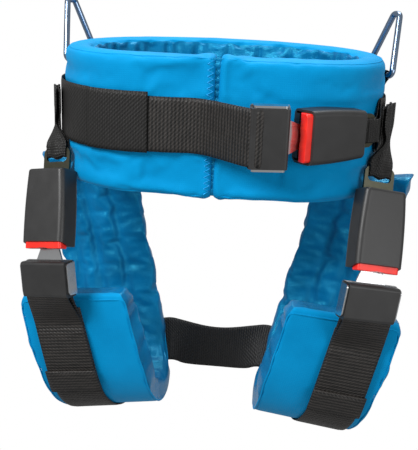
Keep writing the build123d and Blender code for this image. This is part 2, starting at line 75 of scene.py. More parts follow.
def vec(*xyz):
    return np.array(xyz, float)


# ---------------------------------------------------------------- camera
def add_camera():
    pitch, yaw, roll = math.radians(17.5), math.radians(5.4), math.radians(2.3)
    target = vec(-9.9, 0, 197) * MM + SHIFT
    back = vec(math.sin(yaw) * math.cos(pitch), -math.cos(yaw) * math.cos(pitch), math.sin(pitch))
    right = vec(math.cos(yaw), math.sin(yaw), 0)
    up = np.cross(back, right)
    across = right * math.cos(roll) + up * math.sin(roll)
    above = up * math.cos(roll) - right * math.sin(roll)
    place = Matrix.Identity(4)
    for column, axis in enumerate((across, above, back, target + back * 0.8518)):
        for row in range(3):
            place[row][column] = axis[row]
    data = bpy.data.cameras.new("camera")
    data.sensor_width = 36
    data.lens = 66.95
    data.clip_start = 0.01
    camera = bpy.data.objects.new("camera", data)
    bpy.context.scene.collection.objects.link(camera)
    camera.matrix_world = place
    bpy.context.scene.camera = camera


# ---------------------------------------------------------------- materials
def new_material(name, color, roughness, metallic=0.0):
    mat = bpy.data.materials.new(name)
    mat.use_nodes = True
    shader = mat.node_tree.nodes["Principled BSDF"]
    shader.inputs["Base Color"].default_value = (*color, 1)
    shader.inputs["Roughness"].default_value = roughness
    shader.inputs["Metallic"].default_value = metallic
    return mat, mat.node_tree.nodes, mat.node_tree.links, shader


def texture(nodes, links, kind, scale, coord, **values):
    """A texture node fed by the named coordinate, stretched by scale along each axis."""
    source = nodes.new("ShaderNodeTexCoord")
    mapping = nodes.new("ShaderNodeMapping")
    mapping.inputs["Scale"].default_value = scale
    links.new(source.outputs[coord], mapping.inputs["Vector"])
    node = nodes.new(kind)
    links.new(mapping.outputs["Vector"], node.inputs["Vector"])
    for key, value in values.items():
        if key in node.inputs:
            node.inputs[key].default_value = value
        else:
            setattr(node, key, value)
    return node


def ramp(nodes, links, source, stops):
    node = nodes.new("ShaderNodeValToRGB")
    while len(node.color_ramp.elements) < len(stops):
        node.color_ramp.elements.new(0.5)
    for element, (place, color) in zip(node.color_ramp.elements, stops):
        element.position = place
        element.color = (*color, 1)
    links.new(source, node.inputs["Fac"])
    return node.outputs["Color"]


def combine(nodes, links, a, b, operation="ADD"):
    node = nodes.new("ShaderNodeMath")
    node.operation = operation
    for socket, value in zip(node.inputs, (a, b)):
        if isinstance(value, (int, float)):
            socket.default_value = value
        else:
            links.new(value, socket)
    return node.outputs["Value"]


def bump(nodes, links, shader, height, distance, strength=1.0):
    node = nodes.new("ShaderNodeBump")
    node.inputs["Distance"].default_value = distance
    node.inputs["Strength"].default_value = strength
    links.new(height, node.inputs["Height"])
    links.new(node.outputs["Normal"], shader.inputs["Normal"])
    return node


def threads(nodes, links, pitch, twist=0.0):
    """Height of a plain weave: warp and weft bands in the piece's own UV map, which is in metres."""
    heights = []
    for direction in ("X", "Y"):
        node = texture(nodes, links, "ShaderNodeTexWave", (1, 1, 1), "UV", Scale=1 / pitch / 20 * math.pi,
                       Distortion=twist, bands_direction=direction)
        heights.append(node.outputs["Fac"])
    return combine(nodes, links, *heights, "MULTIPLY")


def cover_fabric():
    mat, nodes, links, shader = new_material("cover_fabric", (0.002, 0.25, 0.56), 0.6)
    cloud = texture(nodes, links, "ShaderNodeTexNoise", (1, 1, 1), "Object", Scale=22, Detail=6,
                    Roughness=0.6)
    color = ramp(nodes, links, cloud.outputs["Fac"],
                 [(0.25, (0.001, 0.205, 0.46)), (0.75, (0.002, 0.265, 0.575))])
    links.new(color, shader.inputs["Base Color"])
    shader.inputs["Specular IOR Level"].default_value = 0.22
    shader.inputs["Specular Tint"].default_value = (0.1, 0.7, 1.0, 1)
    shader.inputs["Sheen Weight"].default_value = 0.08
    shader.inputs["Sheen Roughness"].default_value = 0.4
    shader.inputs["Sheen Tint"].default_value = (0.1, 0.6, 1.0, 1)
    weave = threads(nodes, links, 0.9 * MM)
    fuzz = texture(nodes, links, "ShaderNodeTexNoise", (1, 1, 1), "Object", Scale=900, Detail=3)
    height = combine(nodes, links, weave, combine(nodes, links, fuzz.outputs["Fac"], 0.7, "MULTIPLY"))
    bump(nodes, links, shader, height, 0.16 * MM, 0.5)
    return mat


def satin():
    mat, nodes, links, shader = new_material("lining_satin", (0.003, 0.14, 0.38), 0.27)
    cloud = texture(nodes, links, "ShaderNodeTexNoise", (1, 1, 1), "Object", Scale=30, Detail=5)
    color = ramp(nodes, links, cloud.outputs["Fac"], [(0.3, (0.001, 0.10, 0.25)), (0.7, (0.002, 0.17, 0.40))])
    links.new(color, shader.inputs["Base Color"])
    shader.inputs["Specular IOR Level"].default_value = 0.95
    shader.inputs["Specular Tint"].default_value = (0.08, 0.75, 1.0, 1)
    crinkle = texture(nodes, links, "ShaderNodeTexNoise", (1, 1, 1), "Object", Scale=170, Detail=5,
                      Roughness=0.55)
    fine = threads(nodes, links, 0.35 * MM)
    height = combine(nodes, links, crinkle.outputs["Fac"], combine(nodes, links, fine, 0.15, "MULTIPLY"))
    bump(nodes, links, shader, height, 0.9 * MM, 0.6)
    return mat


def webbing_material(name, light, dark, ripple):
    """Black seat-belt webbing: a fine twill with ribs across it, seen as wavy light and dark lines."""
    mat, nodes, links, shader = new_material(name, dark, 0.5)
    ribs = texture(nodes, links, "ShaderNodeTexWave", (1, 0.12, 1), "UV", Scale=ripple, Distortion=2.6,
                   Detail=3, bands_direction="X")
    ribs.inputs["Detail Scale"].default_value = 6
    color = ramp(nodes, links, ribs.outputs["Fac"], [(0.2, dark), (0.8, light)])
    links.new(color, shader.inputs["Base Color"])
    shader.inputs["Specular IOR Level"].default_value = 0.3
    twill = texture(nodes, links, "ShaderNodeTexWave", (1, 1, 1), "UV", Scale=170, Distortion=0.4,
                    bands_direction="DIAGONAL")
    faint = combine(nodes, links, twill.outputs["Fac"], 0.8, "MULTIPLY")
    height = combine(nodes, links, ribs.outputs["Fac"], faint)
    bump(nodes, links, shader, height, 0.4 * MM, 0.8)
    return mat


def moulded(name, color, roughness, grain=0.12):
    """Moulded plastic with a fine grain and uneven gloss."""
    mat, nodes, links, shader = new_material(name, color, roughness)
    fine = texture(nodes, links, "ShaderNodeTexNoise", (1, 1, 1), "Object", Scale=1400, Detail=2)
    wear = texture(nodes, links, "ShaderNodeTexNoise", (1, 1, 1), "Object", Scale=60, Detail=6)
    rough = nodes.new("ShaderNodeMapRange")
    rough.inputs["To Min"].default_value = roughness - 0.07
    rough.inputs["To Max"].default_value = roughness + 0.09
    links.new(wear.outputs["Fac"], rough.inputs["Value"])
    links.new(rough.outputs["Result"], shader.inputs["Roughness"])
    tint = ramp(nodes, links, wear.outputs["Fac"],
                [(0.3, tuple(c * 0.85 for c in color)), (0.75, tuple(c * 1.25 for c in color))])
    links.new(tint, shader.inputs["Base Color"])
    bump(nodes, links, shader, fine.outputs["Fac"], grain * MM, 0.6)
    return mat


def plated(name, color, roughness):
    """Plated or painted steel with a light haze."""
    mat, nodes, links, shader = new_material(name, color, roughness, metallic=1.0)
    haze = texture(nodes, links, "ShaderNodeTexNoise", (1, 1, 6), "Object", Scale=120, Detail=5)
    rough = nodes.new("ShaderNodeMapRange")
    rough.inputs["To Min"].default_value = roughness - 0.05
    rough.inputs["To Max"].default_value = roughness + 0.1
    links.new(haze.outputs["Fac"], rough.inputs["Value"])
    links.new(rough.outputs["Result"], shader.inputs["Roughness"])
    bump(nodes, links, shader, haze.outputs["Fac"], 0.05 * MM, 0.4)
    return mat


def thread_material(name, color):
    mat, nodes, links, shader = new_material(name, color, 0.55)
    twist = texture(nodes, links, "ShaderNodeTexNoise", (1, 1, 1), "Object", Scale=2500, Detail=1)
    bump(nodes, links, shader, twist.outputs["Fac"], 0.1 * MM, 0.8)
    return mat


MATERIALS = {
    "cover": cover_fabric(),
    "satin": satin(),
    "webbing": webbing_material("webbing", (0.030, 0.027, 0.025), (0.009, 0.0088, 0.0085), 95),
    "plain_webbing": webbing_material("plain_webbing", (0.016, 0.0155, 0.015), (0.009, 0.0088, 0.0085), 130),
    "plastic": moulded("buckle_plastic", (0.017, 0.017, 0.0172), 0.42),
    "red": moulded("button_plastic", (0.80, 0.018, 0.008), 0.36, 0.06),
    "acetal": moulded("ejector_plastic", (0.62, 0.62, 0.58), 0.45),
    "chrome": plated("tongue_steel", (0.55, 0.56, 0.57), 0.16),
    "anchor": plated("anchor_steel", (0.075, 0.075, 0.055), 0.34),
    "ring": plated("ring_steel", (0.22, 0.30, 0.42), 0.22),
    "spring": plated("spring_steel", (0.45, 0.45, 0.46), 0.3),
    "thread": thread_material("blue_thread", (0.01, 0.42, 0.90)),
    "black_thread": thread_material("black_thread", (0.012, 0.012, 0.012)),
}


# ---------------------------------------------------------------- lines that the soft parts follow
def measured(points):
    """Points along a line, its length up to each of them and its direction there."""
    points = np.asarray(points, float)
    steps = np.linalg.norm(np.diff(points, axis=0), axis=1)
    length = np.concatenate([[0], np.cumsum(steps)])
    return points, length, np.gradient(points, length, axis=0)


def along_line(line, at):
    points, length, way = line
    place = np.array([np.interp(at, length, points[:, i]) for i in range(3)])
    return place, unit([np.interp(at, length, way[:, i]) for i in range(3)])


def belt_half_line():
    """The right half of the belt's outline, from the front centre to the rear centre, at z 0."""
    flat = [(x, BELT_FRONT, 0) for x in np.linspace(0, BELT_FLAT, 40)]
    turn = [(BELT_FLAT + BELT_CORNER * math.sin(a), BELT_FRONT + BELT_CORNER * (1 - math.cos(a)), 0)
            for a in np.linspace(0, math.pi / 2, 120)[1:]]
    rear = [(BELT_HALF * math.cos(a), BELT_MID + BELT_REAR * math.sin(a), 0)
            for a in np.linspace(0, math.pi / 2, 240)]
    return measured(flat + turn + rear)


BELT_LINE = belt_half_line()
BELT_RUN = BELT_LINE[1][-1]


def on_belt(run, out, z):
    """The point at a run along the outline from the front centre, the way along it and the outward normal."""
    side = 1 if run >= 0 else -1
    point, way = along_line(BELT_LINE, min(abs(run), BELT_RUN - 1e-6))
    normal = vec(side * way[1], -way[0], 0)
    point = vec(side * point[0], point[1], z) + unit(normal) * out
    return point + SHIFT, vec(way[0], side * way[1], 0), unit(normal)


def leg_route_line():
    """A smooth line through the route's points: a cubic spline on chord length, with free ends."""
    knots = np.array(LEG_ROUTE, float) * MM
    t = np.concatenate([[0], np.cumsum(np.linalg.norm(np.diff(knots, axis=0), axis=1))])
    count, gap = len(knots), np.diff(t)
    matrix, right = np.eye(count), np.zeros((count, 3))
    for i in range(1, count - 1):
        matrix[i, i - 1:i + 2] = gap[i - 1], 2 * (gap[i - 1] + gap[i]), gap[i]
        right[i] = 6 * ((knots[i + 1] - knots[i]) / gap[i] - (knots[i] - knots[i - 1]) / gap[i - 1])
    bend = np.linalg.solve(matrix, right)
    points = []
    for x in np.linspace(0, t[-1], 400):
        i = min(int(np.searchsorted(t, x, "right")) - 1, count - 2)
        a, b, h = t[i + 1] - x, x - t[i], gap[i]
        points.append((bend[i] * a ** 3 + bend[i + 1] * b ** 3) / (6 * h)
                      + (knots[i] / h - bend[i] * h / 6) * a + (knots[i + 1] / h - bend[i + 1] * h / 6) * b)
    return measured(points)


LEG_LINE = leg_route_line()
LEG_LENGTH = LEG_LINE[1][-1]


def leg_frame(u):
    """Centre, outward width direction and normal of the right leg band, from its back top at u 0 to u 1."""
    turn = TURN_BACK + (TURN_FRONT - TURN_BACK) * u
    centre, way = along_line(LEG_LINE, u * LEG_LENGTH)
    width = vec(math.cos(LEG_LEAN) * math.cos(turn), math.cos(LEG_LEAN) * math.sin(turn), -math.sin(LEG_LEAN))
    return centre + SHIFT, width, unit(np.cross(width, way))


def leg_edges(u):
    """How far the band reaches to its inner and outer side."""
    inner = 50 + 8 * min(1.0, u / 0.45)
    outer = 50 + 7 * u - 12 * math.sin(math.pi * max(0.0, min(1.0, (u - 0.3) / 0.6))) ** 2
    return inner * MM, outer * MM


def inner_cut(u):
    """How far the padding stays back from the band's inner side."""
    return (4 + 7 * math.sin(math.pi * min(1.0, u / 0.55))) * MM


def leg_way(u):
    return along_line(LEG_LINE, u * LEG_LENGTH)[1]


# ---------------------------------------------------------------- meshes
def make_object(name, points, faces, uvs=None, material_of=None, materials=()):
    mesh = bpy.data.meshes.new(name)
    mesh.from_pydata([tuple(p) for p in points], [], faces)
    for mat in materials:
        mesh.materials.append(mat)
    if material_of is not None:
        mesh.polygons.foreach_set("material_index", material_of)
    mesh.polygons.foreach_set("use_smooth", [True] * len(mesh.polygons))
    if uvs is not None:
        layer = mesh.uv_layers.new(name="UVMap")
        for poly in mesh.polygons:
            for loop, uv in zip(poly.loop_indices, uvs[poly.index]):
                layer.data[loop].uv = uv
    mesh.update()
    obj = bpy.data.objects.new(name, mesh)
    bpy.context.scene.collection.objects.link(obj)
    return obj


def tube_grid(rings, material_of=None):
    """Points, faces, UVs and materials of a closed skin through rings of points, with a face on each end."""
    rings = np.asarray(rings)
    count, around = rings.shape[:2]
    points = rings.reshape(-1, 3)
    u_at = np.concatenate([[0], np.cumsum(np.linalg.norm(np.diff(rings.mean(1), axis=0), axis=1))])
    mid = rings[count // 2]
    v_at = np.concatenate([[0], np.cumsum(np.linalg.norm(np.roll(mid, -1, 0) - mid, axis=1))])
    faces, uvs, kinds = [], [], []
    for i in range(count - 1):
        for j in range(around):
            k = (j + 1) % around
            faces.append((i * around + j, i * around + k, (i + 1) * around + k, (i + 1) * around + j))
            u0, u1, v0, v1 = u_at[i], u_at[i + 1], v_at[j], v_at[j + 1]
            uvs.append(((u0, v0), (u0, v1), (u1, v1), (u1, v0)))
            kinds.append(material_of[j] if material_of is not None else 0)
    for ring, flip in ((0, True), (count - 1, False)):
        loop = [ring * around + j for j in range(around)]
        loop = loop[::-1] if flip else loop
        faces.append(tuple(loop))
        uvs.append([tuple(points[v][:2]) for v in loop])
        kinds.append(1 if material_of is not None else 0)
    return points, faces, uvs, kinds


def inflate(obj, pins, pressure, grow, cap, frames=18):
    """Cloth simulation: the skin swells between its pinned seams, and no point moves further than its cap."""
    start = np.array([v.co for v in obj.data.vertices])
    group = obj.vertex_groups.new(name="pin")
    for index in np.nonzero(pins)[0]:
        group.add([int(index)], float(pins[index]), "REPLACE")
    cloth = obj.modifiers.new("cloth", "CLOTH")
    settings = cloth.settings
    settings.quality = 6
    settings.mass = 0.15
    settings.tension_stiffness = 20
    settings.compression_stiffness = 20
    settings.shear_stiffness = 8
    settings.bending_stiffness = 0.3
    settings.air_damping = 3
    settings.use_pressure = True
    settings.uniform_pressure_force = pressure
    settings.shrink_min = -grow
    settings.vertex_group_mass = "pin"
    settings.effector_weights.gravity = 0
    cloth.collision_settings.use_collision = False
    scene = bpy.context.scene
    cloth.point_cache.frame_end = frames
    for number in range(1, frames + 1):
        scene.frame_set(number)
    posed = obj.evaluated_get(bpy.context.evaluated_depsgraph_get())
    end = np.array([v.co for v in posed.data.vertices])
    obj.modifiers.remove(cloth)
    obj.vertex_groups.clear()
    scene.frame_set(1)
    move = end - start
    far = np.linalg.norm(move, axis=1)
    limit = np.where(far > cap, cap / np.maximum(far, 1e-9), 1.0)
    final = start + move * limit[:, None]
    obj.data.vertices.foreach_set("co", final.reshape(-1))
    obj.data.update()


def section_loop(half_a, half_b, round_a, round_b, step):
    """A rounded rectangle: up its outer face (+b), over the top, down its inner face and back under."""
    points = []
    flat_a, flat_b = half_a - round_a, half_b - round_b
    count = max(2, int(round(2 * flat_a / step)))
    turn = 7
    for sign_a, sign_b, start in ((1, 1, 0), (1, -1, 1), (-1, -1, 2), (-1, 1, 3)):
        for k in range(turn):
            a = math.pi / 2 * k / (turn - 1)
            if start in (0, 2):
                bend_a, bend_b = round_a * math.sin(a), round_b * math.cos(a)
            else:
                bend_a, bend_b = round_a * math.cos(a), round_b * math.sin(a)
            points.append((sign_a * (flat_a + bend_a), sign_b * (flat_b + bend_b)))
        if start == 1:
            points += [(flat_a - 2 * flat_a * i / count, -half_b) for i in range(1, count)]
        if start == 3:
            points += [(-flat_a + 2 * flat_a * i / count, half_b) for i in range(1, count)]
    return np.array(points)


# ---------------------------------------------------------------- waist belt
def pleat(value, seed):
    """Noise for small pleats that run across a seam."""
    return noise.noise(Vector((value, seed, 0.37)))


def belt_pad():
    """The belt: a taut cover outside and over the rims, and swollen satin channels inside between seams."""
    step = 4.0 * MM
    loop = section_loop(BELT_HEIGHT / 2, BELT_THICK / 2, 10 * MM, 11 * MM, step)
    loop_a, loop_b = loop[:, 0], loop[:, 1]
    inner = loop_b < -BELT_THICK / 2 + 3.2 * MM
    mid_z = BELT_BOTTOM + BELT_HEIGHT / 2
    total = 2 * BELT_RUN
    count = int(total / step)
    end_round = 6.5 * MM
    ends = [0.0, 1.2 * MM, 3.4 * MM, end_round]
    runs = ends + list(np.linspace(10 * MM, total - 10 * MM, count - 8)) + [total - e for e in reversed(ends)]
    channel = 37 * MM
    rings, pins, caps = [], [], []
    for run in runs:
        from_end = min(run, total - run)
        shrink = 1 - math.sqrt(max(0.0, 1 - (1 - min(1, from_end / end_round)) ** 2))
        ring, side = [], 1 if run <= BELT_RUN else -1
        inset = 1 - 0.42 * shrink
        for a, b in zip(loop_a, loop_b):
            open_up = (1.6 + 2.6 * a / BELT_HEIGHT) * MM if side > 0 else 0.3 * MM
            open_up *= max(0.0, 1 - from_end / (70 * MM))
            signed = (run if side > 0 else run - total) + side * open_up
            ring.append(on_belt(signed, -BELT_THICK / 2 + b * inset, mid_z + a * (1 - 0.05 * shrink))[0])
        phase = (run / channel) % 1.0
        near_seam = min(phase, 1 - phase) * channel
        groove = math.exp(-(near_seam / (3.2 * MM)) ** 2)
        edge = np.clip((BELT_HEIGHT / 2 - np.abs(loop_a)) / (10 * MM), 0, 1)
        ring = np.array(ring)
        _, _, normal = on_belt(run if side > 0 else run - total, 0, 0)
        depth = np.where(inner, 4.6 * MM * groove * edge, 0)
        waves = np.array([pleat(z * 230, round(run / channel)) for z in loop_a])
        depth = depth + np.where(inner, 1.4 * MM * waves * math.exp(-near_seam / (9 * MM)) * edge, 0)
        ring += normal * depth[:, None]
        rings.append(ring)
        strapped = (~inner) & (loop_b > 0) & (np.abs(mid_z + loop_a - STRAP_Z) < 26 * MM)
        pin = np.where(inner & (near_seam < SEAM_PIN), 1.0, 0.0)
        pin = np.maximum(pin, np.where(strapped, 1.0, 0.0))
        if from_end < 5 * MM:
            pin[:] = 1.0
        pins.append(pin)
        caps.append(np.where(inner, 6.5 * MM, 1.8 * MM))
    kinds = [1 if flag else 0 for flag in inner]
    points, faces, uvs, kinds = tube_grid(rings, material_of=kinds)
    pad = make_object("belt_pad", points, faces, uvs, kinds, (MATERIALS["cover"], MATERIALS["satin"]))
    inflate(pad, np.concatenate(pins), 5.0, 0.05, np.concatenate(caps))
    finish_pad(pad, ("belt_cover", "belt_foam", "belt_lining"))
    return pad


def finish_pad(pad, nodes):
    detail = pad.modifiers.new("smooth", "SUBSURF")
    detail.levels = detail.render_levels = 1
    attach(pad, "root")
    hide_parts(*nodes)


# ---------------------------------------------------------------- leg cradles
def leg_pad():
    """The right cradle: a flat cover outside, and satin round its sides and inside in lengthwise channels."""
    step = 4.2 * MM
    loop = section_loop(1.0, PAD_THICK / 2, 0.10, 7 * MM, 2 * 1.0 / 26)
    shares, loop_b = loop[:, 0], loop[:, 1]
    cover = loop_b > PAD_THICK / 2 - 2.5 * MM
    seam_shares = (-0.40, 0.16, 0.62)
    ends = [0.0, 1.0 * MM, 3.0 * MM, 6.0 * MM]
    runs = ends + list(np.linspace(9 * MM, LEG_LENGTH - 9 * MM, int(LEG_LENGTH / step))) \
        + [LEG_LENGTH - e for e in reversed(ends)]
    rings, pins, caps = [], [], []
    for run in runs:
        u = run / LEG_LENGTH
        centre, width, normal = leg_frame(u)
        reach_in, reach_out = leg_edges(u)
        corner_up = max(0.0, 1 - u / 0.17) ** 2
        reach_in -= inner_cut(u)
        from_end = min(run, LEG_LENGTH - run)
        tip = 1 - math.sqrt(max(0.0, 1 - (1 - min(1, from_end / (6 * MM))) ** 2))
        half, middle = (reach_in + reach_out) / 2, (reach_out - reach_in) / 2
        corner = 14 * MM * (1 - min(1.0, (LEG_LENGTH - run) / (14 * MM))) ** 2
        ring, pin, cap = [], [], []
        for share, b, is_cover in zip(shares, loop_b, cover):
            a = share * (half - corner * 0.35)
            near = min(abs(share - s) for s in seam_shares) * half
            inside = (not is_cover) and b < -PAD_THICK / 2 + 2.5 * MM
            depth = 0.0
            if inside:
                depth = 5.5 * MM * math.exp(-(near / (3.0 * MM)) ** 2)
                gather = pleat(run * 260 + share * 1.5, 3.0) + 0.5 * pleat(run * 110, 9.0 + share * 2)
                depth += 0.9 * MM * gather * math.exp(-near / (8 * MM))
            if not is_cover:
                depth *= 1 - tip
            place = centre + width * (middle + a) + normal * (b * (1 - 0.35 * tip) + depth)
            place = place + UP * (24 * MM * corner_up * (0.5 + 0.5 * share) ** 2)
            ring.append(place)
            held = (inside and near < SEAM_PIN) or (is_cover and b > PAD_THICK / 2 - 0.3 * MM)
            pin.append(1.0 if held else 0.0)
            cap.append(1.0 * MM if is_cover else 7.0 * MM)
        if from_end < 3 * MM:
            pin = [1.0] * len(pin)
        rings.append(np.array(ring))
        pins.append(np.array(pin))
        caps.append(np.array(cap))
    kinds = [0 if flag else 1 for flag in cover]
    points, faces, uvs, kinds = tube_grid(rings, material_of=kinds)
    pad = make_object("right_leg_pad", points, faces, uvs, kinds, (MATERIALS["cover"], MATERIALS["satin"]))
    inflate(pad, np.concatenate(pins), 5.0, 0.07, np.concatenate(caps))
    return pad


def mirrored(obj, name):
    """A mirror image in the plane x = 0."""
    other = obj.copy()
    other.data = obj.data.copy()
    other.name = name
    bpy.context.scene.collection.objects.link(other)
    other.data.transform(Matrix.Scale(-1, 4, (1, 0, 0)))
    other.data.flip_normals()
    other.data.update()
    return other


def surface_of(obj):
    """A tree of the mesh's faces, to find points on it."""
    mesh = obj.data
    return BVHTree.FromPolygons([v.co for v in mesh.vertices], [p.vertices for p in mesh.polygons])


def thread(name, points, radius, material):
    """A round thread or cord through the points."""
    points = np.asarray(points, float)
    way = np.gradient(points, axis=0)
    rings = []
    for point, along in zip(points, way):
        along = unit(along)
        side = unit(np.cross(along, vec(0.21, 0.35, 0.91)))
        top = np.cross(side, along)
        rings.append([point + radius * (math.cos(a) * side + math.sin(a) * top)
                      for a in np.linspace(0, 2 * math.pi, 7)[:-1]])
    points, faces, uvs, _ = tube_grid(rings)
    return make_object(name, points, faces, uvs, None, (MATERIALS[material],))


def piping(name, pad, points, radius=0.8 * MM):
    """A cord laid on the pad's surface at the places nearest to the points."""
    tree = surface_of(pad)
    laid = []
    for point in points:
        place, normal, _, _ = tree.find_nearest(Vector(point))
        laid.append(np.array(place) + np.array(normal) * radius * 0.45)
    laid = np.array(laid)
    for _ in range(3):
        laid[1:-1] = (laid[:-2] + 2 * laid[1:-1] + laid[2:]) / 4
    cord = thread(name, laid, radius, "cover")
    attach(cord, "root")
    return cord


def belt_piping(pad):
    """Cords along both rims of the belt."""
    for side, sign in (("right", 1), ("left", -1)):
        runs = np.linspace(4 * MM, BELT_RUN - 1 * MM, 150) * sign
        for rim, z in (("top", BELT_BOTTOM + BELT_HEIGHT - 3.5 * MM), ("bottom", BELT_BOTTOM + 3.5 * MM)):
            points = [on_belt(run, -2.5 * MM, z)[0] for run in runs]
            piping(f"belt_{rim}_piping_{side}", pad, points)


def leg_piping():
    """Cords round the edge of the right cradle's cover: up both sides and over the flap's top."""
    points = []
    for u in np.linspace(0.30, 0.985, 70):
        centre, width, normal = leg_frame(u)
        reach_in = leg_edges(u)[0] - inner_cut(u)
        points.append(centre - width * (reach_in - 1 * MM) + normal * PAD_THICK / 2)
    centre, width, normal = leg_frame(0.988)
    reach_in, reach_out = leg_edges(1.0)
    for share in np.linspace(0, 1, 24):
        points.append(centre + width * (-reach_in + 6 * MM + share * (reach_in + reach_out - 8 * MM))
                      + normal * PAD_THICK / 2)
    for u in np.linspace(0.97, 0.35, 60):
        centre, width, normal = leg_frame(u)
        points.append(centre + width * (leg_edges(u)[1] - 1 * MM) + normal * PAD_THICK / 2)
    return np.array(points)


# ---------------------------------------------------------------- webbing
def spline(values, at):
    """Catmull-Rom through values at whole numbers, read at the given places."""
    values = np.asarray(values, float)
    out = []
    for t in at:
        i = min(int(t), len(values) - 2)
        f = t - i
        p1, p2 = values[i], values[i + 1]
        p0 = values[i - 1] if i > 0 else 2 * p1 - p2
        p3 = values[i + 2] if i + 2 < len(values) else 2 * p2 - p1
        out.append(0.5 * ((2 * p1) + (p2 - p0) * f + (2 * p0 - 5 * p1 + 4 * p2 - p3) * f ** 2
                          + (3 * p1 - p0 - 3 * p2 + p3) * f ** 3))
    return np.array(out)


def ribbon(name, frames, material="webbing", thick=WEB_THICK, step=3 * MM, wobble=None):
    """Webbing through (centre, half-width vector, normal) frames, with rounded selvedges."""
    centres = np.array([f[0] for f in frames])
    gaps = np.linalg.norm(np.diff(centres, axis=0), axis=1)
    at = np.concatenate([i + np.arange(max(1, int(round(g / step)))) / max(1, int(round(g / step)))
                         for i, g in enumerate(gaps)] + [[len(frames) - 1]])
    centres = spline(centres, at)
    across = spline([f[1] for f in frames], at)
    normals = spline([unit(f[2]) for f in frames], at)
    length = np.concatenate([[0], np.cumsum(np.linalg.norm(np.diff(centres, axis=0), axis=1))])
    columns = np.linspace(-1, 1, 15)
    top = [(w, 1.0 if abs(w) < 0.99 else 0.45) for w in columns]
    outline = top + [(w, -h) for w, h in reversed(top)]
    rings = []
    for centre, side, normal, run in zip(centres, across, normals, length):
        normal = unit(normal)
        half = np.linalg.norm(side)
        ring = []
        for w, h in outline:
            lift = wobble(run, w * half) if wobble else 0.0
            ring.append(centre + side * w + normal * (h * thick / 2 + lift))
        rings.append(ring)
    points, faces, _, _ = tube_grid(rings)
    around, half = len(outline), np.linalg.norm(across[0])
    uvs = []
    for face in faces:
        uvs.append([(length[min(v // around, len(length) - 1)], outline[v % around][0] * half) for v in face])
    return make_object(name, points, faces, uvs, None, (MATERIALS[material],))


def settle(obj, body, nodes):
    """Say which body the piece rides on, which CAD nodes it replaces."""
    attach(obj, body)
    if nodes:
        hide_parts(*nodes)
    return obj


def belt_frames(runs, out, z=STRAP_Z, half=WEB_HALF):
    """Webbing frames along the belt, at runs in millimetres from the front centre."""
    frames = []
    for run in runs:
        point, _, normal = on_belt(run * MM, out, z)
        frames.append((point, UP * half, normal))
    return frames


# Buckle places, as in the CAD source. Lengths in a buckle's own frame are in millimetres.
def place_of(origin, x_axis, z_axis):
    x_axis, z_axis = unit(x_axis), unit(z_axis)
    return np.asarray(origin) * MM + SHIFT, x_axis, np.cross(z_axis, x_axis), z_axis


WAIST_TURN = math.radians(35)
LEG_AXIS = vec(0.04, 0.375, 0.926)
LEG_BACK = vec(-math.sin(math.radians(22)), math.cos(math.radians(22)), 0)
WAIST = place_of((75.5, -116, 316), (math.cos(WAIST_TURN), math.sin(WAIST_TURN), 0), UP)
LEG = place_of((147, -101, 198), LEG_AXIS, np.cross(LEG_AXIS, LEG_BACK))
WAIST_BEND, LEG_BEND = math.radians(25), math.radians(13)
WAIST_BUCKLE, LEG_BUCKLE = 60, 71


def at_place(place, x, y, z=0.0):
    origin, ax, ay, az = place
    return origin + (ax * x + ay * y + az * z) * MM


def at_bracket(place, bend, x, y, z=0.0):
    """A point of the bent bracket, in the buckle's frame."""
    c, s = math.cos(bend), math.sin(bend)
    return at_place(place, -12 + c * x + s * y, 2.2 - s * x + c * y, z)


def bar_turn(place, bend, half):
    """In along the bracket, round the lock bar and out again, with normals that point to the bar."""
    radius, bar_x, bar_y = 3.55, -17, -5.6
    spots = [(-33, bar_y + radius, 90)]
    spots += [(bar_x + radius * math.cos(math.radians(a)), bar_y + radius * math.sin(math.radians(a)), a)
              for a in np.linspace(90, -90, 9)]
    spots += [(-33, bar_y - radius, -90)]
    frames = []
    for x, y, angle in spots:
        centre = at_bracket(place, bend, x, y)
        tip = at_bracket(place, bend, x + math.cos(math.radians(angle)), y + math.sin(math.radians(angle)))
        frames.append((centre, place[3] * half, centre - tip))
    return frames


def slot_turn(place, long, half, beyond):
    """In front of the anchor plate, through its slot and back behind it."""
    mid, slot = 5.85, long + 12
    spots = [(slot + beyond, mid - 2.8), (slot + 8, mid - 2.8)]
    spots += [(slot + 3.4 - 3.4 * math.cos(math.radians(a)), mid - 2.8 * math.sin(math.radians(a)))
              for a in (70, 35, 0, -35, -70)]
    spots += [(slot + 8, mid + 2.8), (slot + beyond, mid + 2.8)]
    frames = []
    for x, y in spots:
        centre = at_place(place, x, y)
        out = unit((x - slot - 7, y - mid)) if x < slot + 4.5 else (0, math.copysign(1, y - mid))
        frames.append((centre, place[3] * half, at_place(place, x + out[0], y + out[1]) - centre))
    return frames


def turned(frames):
    """The same frames with the other face out."""
    return [(centre, across, -normal) for centre, across, normal in frames]


def strap_shift(u):
    """How far the webbing moves outward on the cradle, towards the buckle."""
    return 17 * MM * min(1.0, max(0.0, (u - 0.45) / 0.3))


def leg_web(us, out, half=WEB_HALF):
    """Webbing frames on the cradle's outer face."""
    frames = []
    for u in us:
        centre, width, normal = leg_frame(u)
        point = centre + width * strap_shift(u) + normal * (PAD_THICK / 2 + PAD_GAP + out)
        frames.append((point, width * half, normal))
    return frames


LEG_STEPS = np.linspace(0, 1, 37)


